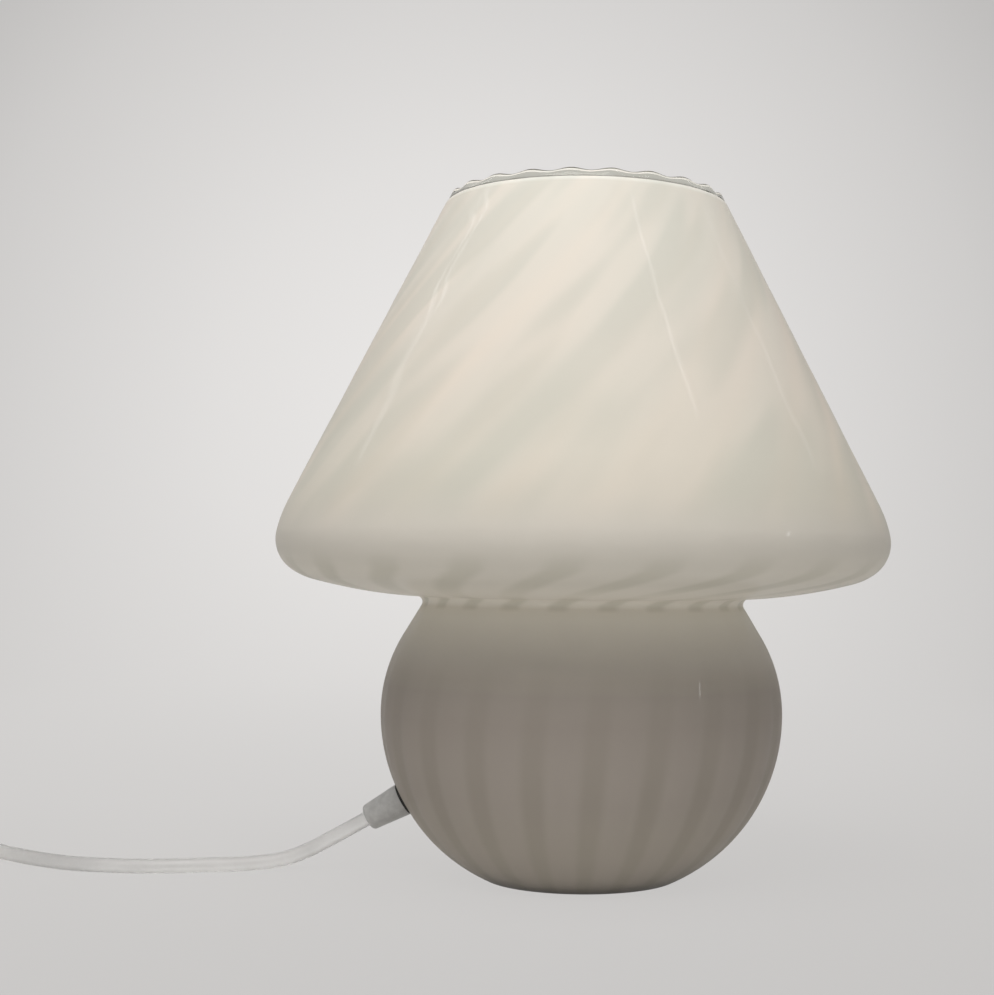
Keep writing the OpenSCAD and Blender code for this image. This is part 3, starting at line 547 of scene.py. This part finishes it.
FINISHES = {
    "black_rubber": dict(colour=(0.03, 0.03, 0.03), rough=0.7, grain=900, relief=0.0002),
    "zinc_steel": dict(colour=(0.62, 0.62, 0.6), rough=0.32, grain=1200, Metallic=1.0),
    "brass": dict(colour=(0.72, 0.53, 0.25), rough=0.28, grain=1100, Metallic=1.0),
    "holder_plastic": dict(colour=(0.72, 0.71, 0.67), rough=0.42, grain=700),
    "holder_core": dict(colour=(0.7, 0.66, 0.56), rough=0.6, grain=900, relief=0.0001),
    "frosted_glass": dict(colour=(0.8, 0.8, 0.78), rough=0.5, grain=500, vary=0.05,
                          Transmission_Weight=0.25, Coat_Weight=0.3),
    "bulb_metal": dict(colour=(0.66, 0.65, 0.62), rough=0.25, grain=1300, Metallic=1.0),
    "black_plastic": dict(colour=(0.025, 0.025, 0.027), rough=0.4, grain=800),
    "clear_glass": dict(colour=(0.9, 0.92, 0.92), rough=0.05, grain=300, vary=0.03,
                        Transmission_Weight=1.0),
    "filament": dict(colour=(0.75, 0.55, 0.12), rough=0.6, grain=1500),
    "grey_plastic": dict(colour=(0.64, 0.64, 0.63), rough=0.38, grain=420, vary=0.1, relief=0.0001,
                         Coat_Weight=0.15),
    "cord_jacket": dict(colour=(0.96, 0.955, 0.94), rough=0.4, grain=700, vary=0.03, relief=0.0001,
                        Transmission_Weight=0.9),
    "brown_wire": dict(colour=(0.13, 0.06, 0.03), rough=0.4, grain=900),
    "blue_wire": dict(colour=(0.03, 0.1, 0.4), rough=0.4, grain=900),
    "white_plastic": dict(colour=(0.76, 0.755, 0.74), rough=0.36, grain=600, vary=0.05, relief=0.0001),
    "rocker_plastic": dict(colour=(0.7, 0.695, 0.68), rough=0.28, grain=600, vary=0.05),
    "tie": dict(colour=(0.6, 0.6, 0.585), rough=0.7, grain=900, relief=0.0002),
}
materials = {name: finish(name, **values) for name, values in FINISHES.items()}
white_glass = opal()
paint(glass, white_glass)
# white_glass on the rim paints the highlight along its top edge
paint(clear_rim, clear(), white_glass)
paint(lamp_cord, materials["cord_jacket"])
paint(mains_cord, materials["cord_jacket"])
for row in frame["record"]["subparts"]:
    if row["material_slot"] in materials:
        for holder in nodes[row["node"]].material_slots:
            holder.link = "OBJECT"
            holder.material = materials[row["material_slot"]]


# Light: a soft box above and in front, thin strips that draw the streaks, and a plain room

LAMP_MIDDLE = Vector((0, 0, 0.17))
BOX_AT = Vector((-0.06, -0.6, 1.04))
BOX_TARGET = Vector((0, 0, 0.15))
BOX_SIZE = 0.8
BOX_POWER = 8.2
ROOM_LOW = (0.215, 0.215, 0.215, 1)
ROOM_HIGH = (0.385, 0.385, 0.385, 1)
ROOM_SEEN = (0.53, 0.52, 0.51, 1)


def area(name, width, length, power):
    data = bpy.data.lights.new(name, "AREA")
    data.shape = "RECTANGLE"
    data.size = width
    data.size_y = length
    data.energy = power
    return add_object(name, data)


def soft_box():
    box = area("soft_box", BOX_SIZE, BOX_SIZE, BOX_POWER)
    box.data.color = (1.0, 0.975, 0.96)
    turn = (BOX_AT - BOX_TARGET).to_track_quat("Z", "Y")
    box.matrix_world = Matrix.Translation(BOX_AT) @ turn.to_matrix().to_4x4()
    box.visible_glossy = False


def strip(name, start, end, width, level):
    """A thin light between two points, facing the lamp and seen in gloss only."""
    a, b = Vector(start), Vector(end)
    middle = (a + b) / 2
    length = (b - a).length
    along = (b - a).normalized()
    face = middle - LAMP_MIDDLE
    face = (face - along * face.dot(along)).normalized()
    across = along.cross(face)
    light = area(name, width, length, level * math.pi * width * length)
    light.matrix_world = Matrix.Translation(middle) @ Matrix((across, along, face)).transposed().to_4x4()
    light.visible_diffuse = False


soft_box()
strip("strip_left", (-0.83, 0.145, 1.1), (-0.925, 0.26, 0.94), 0.018, 6)
strip("strip_left_too", (-0.845, 0.245, 1.06), (-0.92, 0.345, 0.91), 0.018, 5.5)
strip("strip_left_low", (-0.92, 0.29, 0.94), (-1.015, 0.345, 0.755), 0.07, 2.4)
strip("strip_thin", (0.465, -0.36, 1.295), (0.735, -0.35, 1.085), 0.018, 6.5)
strip("strip_right", (0.795, 0.5, 0.99), (0.96, 0.49, 0.73), 0.035, 1.8)
strip("glint", (0.875, -0.19, 0.39), (0.9, -0.255, 0.26), 0.014, 24)


def seen_rays(tree):
    """1 for rays from the eye, in gloss or through glass, and 0 for others."""
    path = tree.nodes.new("ShaderNodeLightPath")
    seen = path.outputs["Is Camera Ray"]
    for kind in ("Is Glossy Ray", "Is Transmission Ray"):
        most = tree.nodes.new("ShaderNodeMath")
        most.operation = "MAXIMUM"
        tree.links.new(seen, most.inputs[0])
        tree.links.new(path.outputs[kind], most.inputs[1])
        seen = most.outputs[0]
    return seen


def make_world():
    world = bpy.data.worlds.new("room")
    bpy.context.scene.world = world
    world.use_nodes = True
    tree = world.node_tree
    tree.nodes.clear()
    out = tree.nodes.new("ShaderNodeOutputWorld")
    back = tree.nodes.new("ShaderNodeBackground")
    way = tree.nodes.new("ShaderNodeTexCoord")
    split = tree.nodes.new("ShaderNodeSeparateXYZ")
    ramp = tree.nodes.new("ShaderNodeValToRGB")
    low, high = ramp.color_ramp.elements
    low.color = ROOM_LOW
    high.position = 0.9
    high.color = ROOM_HIGH
    pale = tree.nodes.new("ShaderNodeMix")
    pale.data_type = "RGBA"
    pale.inputs[7].default_value = ROOM_SEEN
    tree.links.new(way.outputs["Generated"], split.inputs[0])
    tree.links.new(split.outputs[2], ramp.inputs[0])
    tree.links.new(seen_rays(tree), pale.inputs[0])
    tree.links.new(ramp.outputs[0], pale.inputs[6])
    tree.links.new(pale.outputs[2], back.inputs[0])
    tree.links.new(back.outputs[0], out.inputs[0])


make_world()


# Floor and backdrop in one sweep, pale to the eye, in gloss and through glass

SWEEP_FRONT = -1.6
SWEEP_BACK = 1.35
SWEEP_BEND = 0.5
SWEEP_TOP = 1.8
SWEEP_HALF = 2.2
POOL_PLACE = (-0.23, 1.61, 0.3)
POOL_TURN = (0, 0, 0.084)
POOL_STRETCH = (1, 2.87, 1)
POOL_TINT = (1, 0.98, 0.964)
POOL_LEVELS = [(0.0, 0.845), (0.15, 0.77), (0.3, 0.725), (0.45, 0.66), (0.6, 0.595), (0.75, 0.505),
               (0.95, 0.46)]


def sweep_mesh():
    start = SWEEP_BACK - SWEEP_BEND
    line = [(SWEEP_FRONT, 0.0), (-0.6, 0.0), (0.0, 0.0), (start, 0.0)]
    for a in np.linspace(0.1, math.pi / 2, 16):
        line.append((start + SWEEP_BEND * math.sin(a), SWEEP_BEND * (1 - math.cos(a))))
    line += [(SWEEP_BACK, 1.0), (SWEEP_BACK, SWEEP_TOP)]
    points = [(x, y, z) for y, z in line for x in (-SWEEP_HALF, SWEEP_HALF)]
    faces = [(2 * i, 2 * i + 1, 2 * i + 3, 2 * i + 2) for i in range(len(line) - 1)]
    mesh = bpy.data.meshes.new("sweep")
    mesh.from_pydata(points, [], faces)
    mesh.polygons.foreach_set("use_smooth", [True] * len(mesh.polygons))
    return mesh


def sweep_paint():
    """A pool of pale light for the eye, and a plain pale floor for the light that it throws back."""
    shader = Shader("sweep")
    pool = shader.add("ShaderNodeMapping", vector_type="TEXTURE")
    pool.inputs["Location"].default_value = POOL_PLACE
    pool.inputs["Rotation"].default_value = POOL_TURN
    pool.inputs["Scale"].default_value = POOL_STRETCH
    shader.link(shader.place, pool.inputs["Vector"])
    far = shader.add("ShaderNodeVectorMath", operation="LENGTH")
    shader.link(pool.outputs[0], far.inputs[0])
    pale = shader.ramp(far.outputs["Value"], [(at, tone(POOL_TINT, level)) for at, level in POOL_LEVELS])
    seen = seen_rays(shader.tree)
    shader.into(shader.ramp(seen, [(0.0, (0.8, 0.79, 0.77)), (1.0, (0.06, 0.06, 0.06))]), "Base Color")
    shader.put(Roughness=0.9, Specular_IOR_Level=0.0)
    glow = shader.add("ShaderNodeEmission")
    shader.link(pale, glow.inputs["Color"])
    shader.link(seen, glow.inputs["Strength"])
    both = shader.add("ShaderNodeAddShader")
    shader.link(shader.main.outputs[0], both.inputs[0])
    shader.link(glow.outputs[0], both.inputs[1])
    shader.link(both.outputs[0], shader.out.inputs[0])
    return shader.material


sweep = add_object("sweep", sweep_mesh())
paint(sweep, sweep_paint())
bpy.context.scene.view_settings.view_transform = "Standard"
